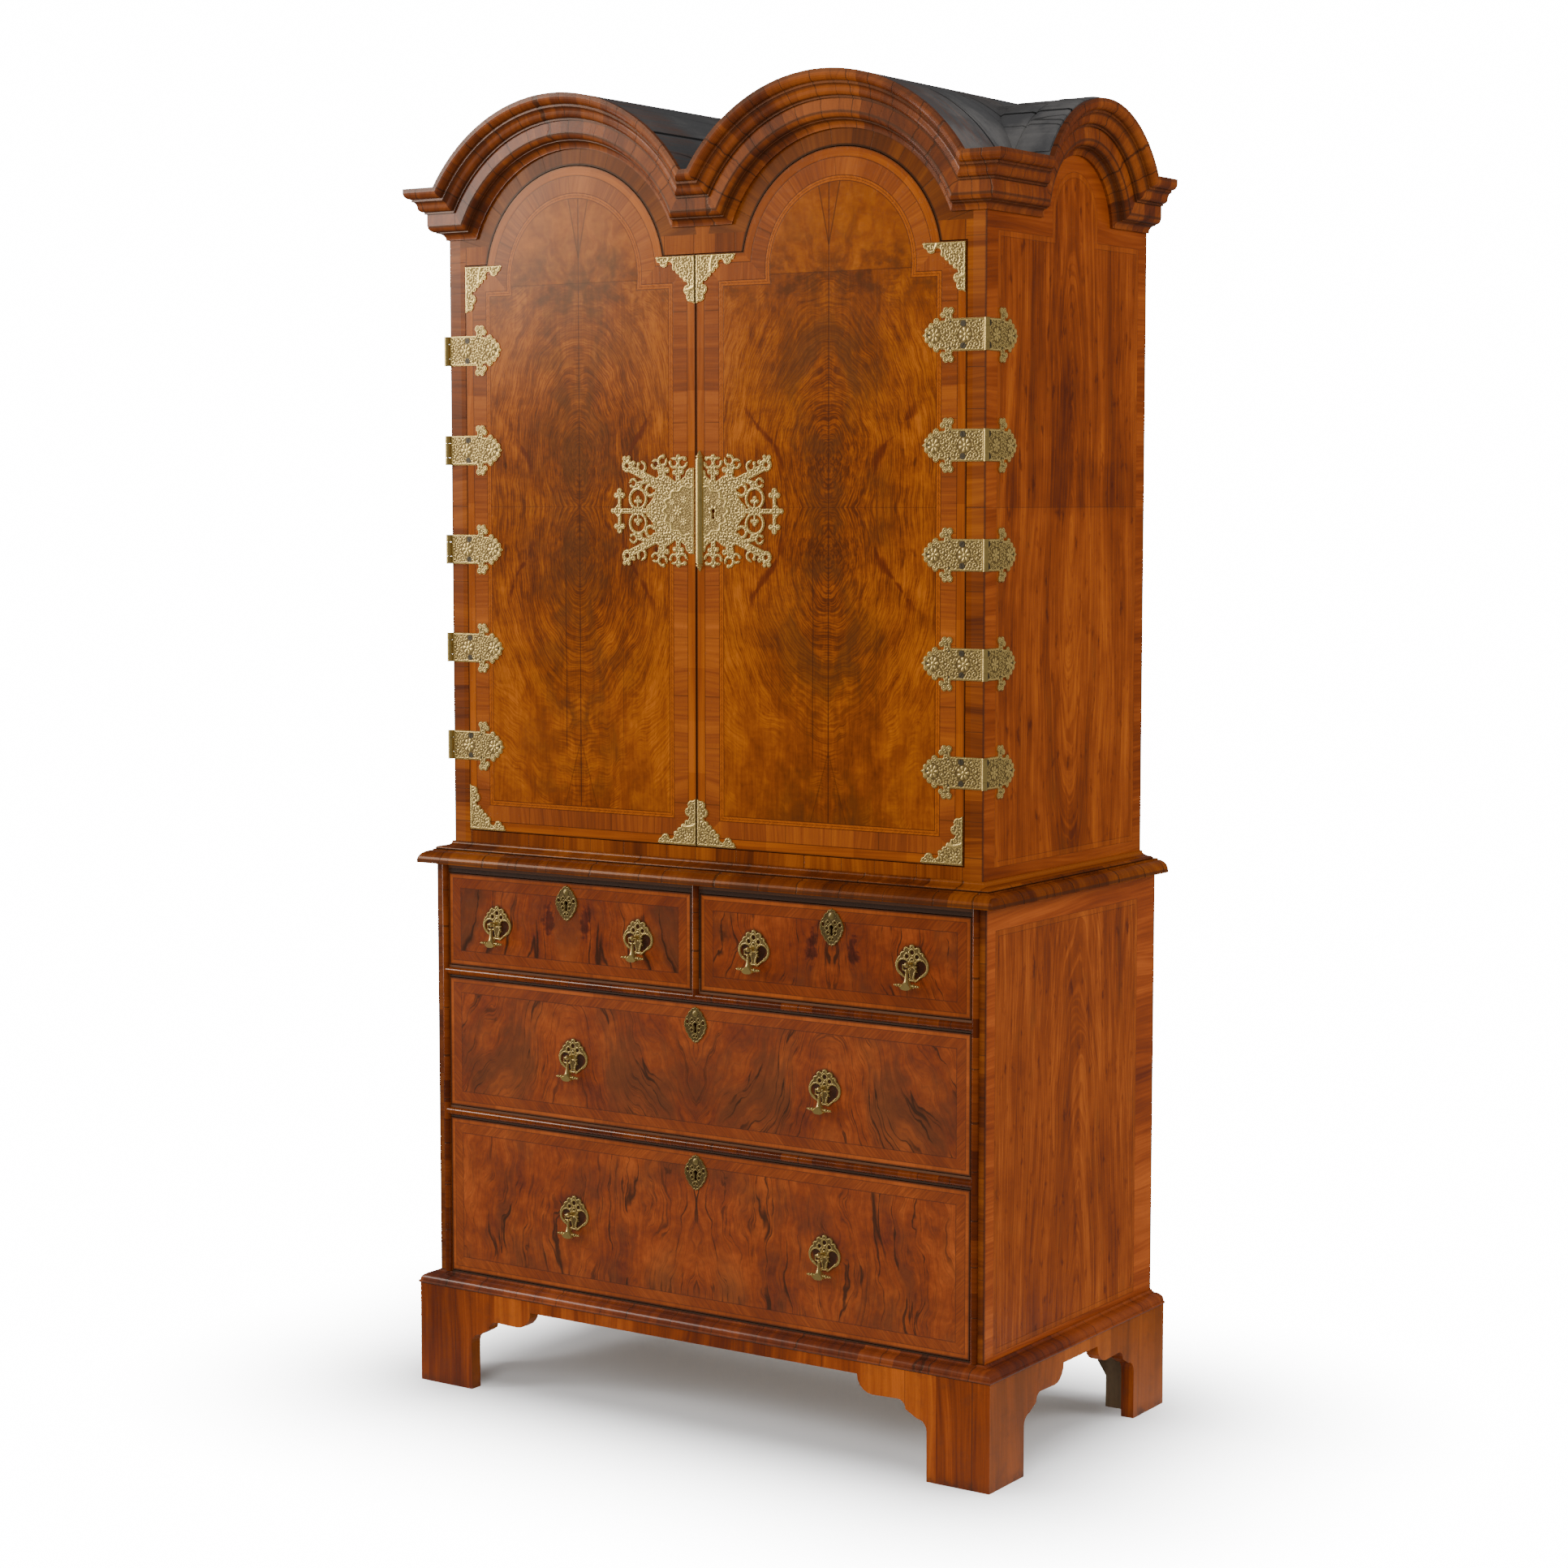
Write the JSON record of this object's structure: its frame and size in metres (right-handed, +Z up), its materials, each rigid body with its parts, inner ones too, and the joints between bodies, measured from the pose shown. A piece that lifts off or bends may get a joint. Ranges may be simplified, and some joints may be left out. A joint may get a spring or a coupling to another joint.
{
  "type": "cabinet on chest",
  "caption": "Walnut double-domed cabinet on chest: arched veneered doors, pierced brass hinges and lock plate, drawers with drop handles, bracket feet.",
  "frame": {"origin": "On the floor, under the middle of the bounding box.", "axes": "+X points to the right seen from the front, +Y from the front to the back, +Z up. The doors and drawers face -Y."},
  "size_m": [1.106, 0.567, 2.087],
  "materials": {
    "walnut_veneer": "figured walnut veneer with featherbanding, waxed",
    "walnut_moulding": "cross grained walnut moulding, waxed",
    "oak_carcase": "plain oak, unpolished",
    "black_roof_boards": "blackened boards, matt",
    "brass": "engraved and pierced brass, lightly polished",
    "iron": "wrought iron, dark"
  },
  "bodies": {
    "case": {"bracket_plinth": "walnut_veneer", "plinth_blocks": "oak_carcase", "base_moulding": "walnut_moulding", "chest_side_left": "walnut_veneer", "chest_side_right": "walnut_veneer", "chest_boards": "oak_carcase", "chest_back": "oak_carcase", "drawer_rails": "oak_carcase", "drawer_runners": "oak_carcase", "carcase_beads": "walnut_moulding", "waist_moulding": "walnut_moulding", "seat_moulding": "walnut_moulding", "cabinet_side_left": "walnut_veneer", "cabinet_side_right": "walnut_veneer", "cabinet_floor": "oak_carcase", "cabinet_back": "oak_carcase", "door_frame": "walnut_veneer", "cornice_front": "walnut_moulding", "cornice_sides": "walnut_moulding", "dome_roof": "black_roof_boards", "shelves": "oak_carcase", "shelf_rests": "oak_carcase", "hinge_straps": "brass"},
    "left_door": {"door_left": "walnut_veneer", "hinge_leaves_left": "brass", "corner_mounts_left": "brass", "lock_plate_left": "brass", "door_bolt_guides": "brass"},
    "right_door": {"door_right": "walnut_veneer", "hinge_leaves_right": "brass", "corner_mounts_right": "brass", "lock_plate_right": "brass", "door_lock": "iron"},
    "door_lock_bolt": {"door_lock_bolt": "iron"},
    "door_bolt_upper": {"door_bolt_upper": "brass"},
    "door_bolt_lower": {"door_bolt_lower": "brass"},
    "upper_left_drawer": {"upper_left_front": "walnut_veneer", "upper_left_box": "oak_carcase", "upper_left_fittings": "brass"},
    "upper_left_bolt": {"upper_left_bolt": "iron"},
    "upper_left_drop_a": {"upper_left_drop_a": "brass"},
    "upper_left_drop_b": {"upper_left_drop_b": "brass"},
    "upper_right_drawer": {"upper_right_front": "walnut_veneer", "upper_right_box": "oak_carcase", "upper_right_fittings": "brass"},
    "upper_right_bolt": {"upper_right_bolt": "iron"},
    "upper_right_drop_a": {"upper_right_drop_a": "brass"},
    "upper_right_drop_b": {"upper_right_drop_b": "brass"},
    "middle_drawer": {"middle_front": "walnut_veneer", "middle_box": "oak_carcase", "middle_fittings": "brass"},
    "middle_bolt": {"middle_bolt": "iron"},
    "middle_drop_a": {"middle_drop_a": "brass"},
    "middle_drop_b": {"middle_drop_b": "brass"},
    "lower_drawer": {"lower_front": "walnut_veneer", "lower_box": "oak_carcase", "lower_fittings": "brass"},
    "lower_bolt": {"lower_bolt": "iron"},
    "lower_drop_a": {"lower_drop_a": "brass"},
    "lower_drop_b": {"lower_drop_b": "brass"}
  },
  "joints": [
    {"name": "left_door_hinge", "type": "hinge", "parent": "case", "child": "left_door", "pos_m": [-0.5042, -0.235, 1.38], "axis": [0, 0, -1], "range_deg": [0, 170]},
    {"name": "right_door_hinge", "type": "hinge", "parent": "case", "child": "right_door", "pos_m": [0.5042, -0.235, 1.38], "axis": [0, 0, 1], "range_deg": [0, 170]},
    {"name": "door_lock_bolt_slide", "type": "slide", "parent": "right_door", "child": "door_lock_bolt", "axis": [-1, 0, 0], "range_m": [0, 0.012]},
    {"name": "door_bolt_upper_slide", "type": "slide", "parent": "left_door", "child": "door_bolt_upper", "axis": [0, 0, 1], "range_m": [0, 0.012]},
    {"name": "door_bolt_lower_slide", "type": "slide", "parent": "left_door", "child": "door_bolt_lower", "axis": [0, 0, -1], "range_m": [0, 0.012]},
    {"name": "upper_left_drawer_slide", "type": "slide", "parent": "case", "child": "upper_left_drawer", "axis": [0, -1, 0], "range_m": [0, 0.4]},
    {"name": "upper_left_bolt_slide", "type": "slide", "parent": "upper_left_drawer", "child": "upper_left_bolt", "axis": [0, 0, 1], "range_m": [0, 0.008]},
    {"name": "upper_left_drop_a_hinge", "type": "hinge", "parent": "upper_left_drawer", "child": "upper_left_drop_a", "pos_m": [-0.394, -0.2701, 0.7735], "axis": [-1, 0, 0], "range_deg": [-12, 100]},
    {"name": "upper_left_drop_b_hinge", "type": "hinge", "parent": "upper_left_drawer", "child": "upper_left_drop_b", "pos_m": [-0.11, -0.2701, 0.7735], "axis": [-1, 0, 0], "range_deg": [-12, 100]},
    {"name": "upper_right_drawer_slide", "type": "slide", "parent": "case", "child": "upper_right_drawer", "axis": [0, -1, 0], "range_m": [0, 0.4]},
    {"name": "upper_right_bolt_slide", "type": "slide", "parent": "upper_right_drawer", "child": "upper_right_bolt", "axis": [0, 0, 1], "range_m": [0, 0.008]},
    {"name": "upper_right_drop_a_hinge", "type": "hinge", "parent": "upper_right_drawer", "child": "upper_right_drop_a", "pos_m": [0.11, -0.2701, 0.7735], "axis": [-1, 0, 0], "range_deg": [-12, 100]},
    {"name": "upper_right_drop_b_hinge", "type": "hinge", "parent": "upper_right_drawer", "child": "upper_right_drop_b", "pos_m": [0.394, -0.2701, 0.7735], "axis": [-1, 0, 0], "range_deg": [-12, 100]},
    {"name": "middle_drawer_slide", "type": "slide", "parent": "case", "child": "middle_drawer", "axis": [0, -1, 0], "range_m": [0, 0.4]},
    {"name": "middle_bolt_slide", "type": "slide", "parent": "middle_drawer", "child": "middle_bolt", "axis": [0, 0, 1], "range_m": [0, 0.008]},
    {"name": "middle_drop_a_hinge", "type": "hinge", "parent": "middle_drawer", "child": "middle_drop_a", "pos_m": [-0.24, -0.2701, 0.5706], "axis": [-1, 0, 0], "range_deg": [-12, 100]},
    {"name": "middle_drop_b_hinge", "type": "hinge", "parent": "middle_drawer", "child": "middle_drop_b", "pos_m": [0.24, -0.2701, 0.5706], "axis": [-1, 0, 0], "range_deg": [-12, 100]},
    {"name": "lower_drawer_slide", "type": "slide", "parent": "case", "child": "lower_drawer", "axis": [0, -1, 0], "range_m": [0, 0.4]},
    {"name": "lower_bolt_slide", "type": "slide", "parent": "lower_drawer", "child": "lower_bolt", "axis": [0, 0, 1], "range_m": [0, 0.008]},
    {"name": "lower_drop_a_hinge", "type": "hinge", "parent": "lower_drawer", "child": "lower_drop_a", "pos_m": [-0.24, -0.2701, 0.3152], "axis": [-1, 0, 0], "range_deg": [-12, 100]},
    {"name": "lower_drop_b_hinge", "type": "hinge", "parent": "lower_drawer", "child": "lower_drop_b", "pos_m": [0.24, -0.2701, 0.3152], "axis": [-1, 0, 0], "range_deg": [-12, 100]}
  ]
}
